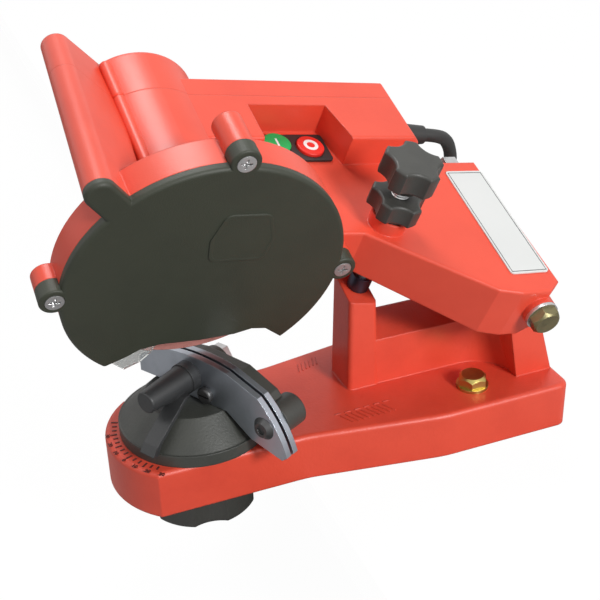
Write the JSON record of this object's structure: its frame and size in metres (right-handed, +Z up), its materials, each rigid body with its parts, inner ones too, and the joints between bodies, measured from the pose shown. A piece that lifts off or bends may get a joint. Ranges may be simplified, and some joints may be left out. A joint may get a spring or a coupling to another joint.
{
  "type": "electric saw chain sharpener",
  "caption": "Bench-mounted electric saw chain sharpener: a swinging motor head with a guarded grinding wheel over a turning chain vise on a cast base.",
  "frame": {"origin": "midway between the two bench bolts, in the plane of the bench top", "axes": "+Z up from the bench, +X from the vise to the pivot of the head, +Y away from the user"},
  "size_m": [0.308, 0.2668, 0.2206],
  "materials": {
    "red_cast": "glossy red paint on cast metal, slightly uneven",
    "red_plastic": "glossy red moulded plastic",
    "dark_cast": "satin dark grey moulding",
    "vise_dark": "dark grey satin paint",
    "rail_steel": "ground steel plate",
    "screw_steel": "bright steel",
    "zinc": "yellow zinc plating",
    "black_plastic": "matt black moulding",
    "knob_black": "satin black moulding",
    "green_plastic": "green button",
    "red_button": "red button",
    "label": "bare pale plate",
    "clear": "clear plastic",
    "abrasive": "fine reddish abrasive",
    "copper": "lacquered copper wire",
    "laminations": "stacked steel sheets",
    "brass": "plain brass",
    "carbon": "carbon",
    "rubber": "black rubber"
  },
  "bodies": {
    "frame": {"base": "red_cast", "bench_bolts": "zinc", "bench_washers": "zinc", "pivot_bolt": "screw_steel", "pivot_nut": "screw_steel", "pivot_washers": "screw_steel", "power_cord": "rubber", "cord_coil": "rubber", "plug": "rubber"},
    "head": {"front_housing": "red_plastic", "rear_housing": "red_plastic", "guard_cover": "dark_cast", "guard_screws": "screw_steel", "housing_screws": "screw_steel", "visor": "clear", "visor_screw": "screw_steel", "label_plate": "label", "stator_core": "laminations", "field_coils": "copper", "brush_holders": "brass", "brushes": "carbon", "motor_bearings": "screw_steel", "switch_plate": "black_plastic", "switch_body": "black_plastic", "capacitor": "black_plastic", "pivot_bushes": "brass", "screw_insert": "brass", "strain_relief": "rubber"},
    "arbor": {"motor_shaft": "screw_steel", "grinding_wheel": "abrasive", "inner_flange": "screw_steel", "outer_flange": "screw_steel", "wheel_nut": "screw_steel", "fan": "black_plastic", "rotor_core": "laminations", "armature_winding": "copper", "commutator": "copper"},
    "green_push": {"green_button": "green_plastic"},
    "red_push": {"red_button": "red_button"},
    "depth_tip": {"tip_cap": "screw_steel"},
    "depth_spindle": {"depth_screw": "screw_steel", "depth_knob": "knob_black"},
    "lock_nut": {"lock_nut_knob": "knob_black"},
    "vise": {"turntable": "vise_dark", "far_rail": "rail_steel", "clamp_screw": "screw_steel", "clamp_nut": "screw_steel", "stop_pin": "screw_steel", "turntable_stud": "screw_steel"},
    "jaw": {"near_rail": "rail_steel", "guide_pin": "screw_steel", "guide_screw": "screw_steel", "clamp_collar": "black_plastic"},
    "clamp": {"clamp_lever": "black_plastic"},
    "pawl": {"stop_pawl": "screw_steel"},
    "under_knob": {"lock_knob": "knob_black", "knob_washer": "screw_steel"}
  },
  "joints": [
    {"name": "head_swing", "type": "hinge", "parent": "frame", "child": "head", "pos_m": [0.02153, 0.00031, 0.09012], "axis": [0, 0.9336, 0.3584], "range_deg": [0, 40], "deforming": ["power_cord"]},
    {"name": "wheel_spin", "type": "hinge", "parent": "head", "child": "arbor", "pos_m": [-0.133, 0.0165, 0.13165], "axis": [0, 0.9336, 0.3584], "continuous": true},
    {"name": "green_press", "type": "slide", "parent": "head", "child": "green_push", "axis": [-0.1994, 0.3512, -0.9148], "range_m": [0, 0.002], "stiffness_N_per_m": 800},
    {"name": "red_press", "type": "slide", "parent": "head", "child": "red_push", "axis": [-0.1994, 0.3512, -0.9148], "range_m": [0, 0.002], "stiffness_N_per_m": 800},
    {"name": "depth_travel", "type": "slide", "parent": "head", "child": "depth_tip", "axis": [0.1994, -0.3512, 0.9148], "range_m": [0, 0.01]},
    {"name": "depth_turn", "type": "hinge", "parent": "depth_tip", "child": "depth_spindle", "pos_m": [-0.03788, -0.01189, 0.12188], "axis": [0.1994, -0.3512, 0.9148], "range_deg": [0, 2880.5]},
    {"name": "lock_nut_turn", "type": "hinge", "parent": "head", "child": "lock_nut", "pos_m": [-0.03748, -0.01259, 0.12371], "axis": [0.1994, -0.3512, 0.9148], "range_deg": [0, 180]},
    {"name": "vise_turn", "type": "hinge", "parent": "frame", "child": "vise", "pos_m": [-0.136, 0, 0.03], "axis": [0, 0, 1], "range_deg": [-65, 5]},
    {"name": "jaw_slide", "type": "slide", "parent": "vise", "child": "jaw", "axis": [-0.866, -0.5, 0], "range_m": [0, 0.0012]},
    {"name": "clamp_turn", "type": "hinge", "parent": "jaw", "child": "clamp", "pos_m": [-0.15182, -0.0126, 0.054], "axis": [-0.866, -0.5, 0], "range_deg": [0, 90.1]},
    {"name": "pawl_lift", "type": "hinge", "parent": "vise", "child": "pawl", "pos_m": [-0.13388, 0.02432, 0.0495], "axis": [-0.866, -0.5, 0], "range_deg": [0, 50]},
    {"name": "under_knob_turn", "type": "hinge", "parent": "frame", "child": "under_knob", "pos_m": [-0.136, 0, -0.009], "axis": [0, 0, 1], "range_deg": [0, 180]}
  ],
  "couplings": [
    {"joint": "depth_turn", "follows": "depth_travel", "rad_per_m": 5026.5},
    {"joint": "clamp_turn", "follows": "jaw_slide", "rad_per_m": 1309}
  ]
}
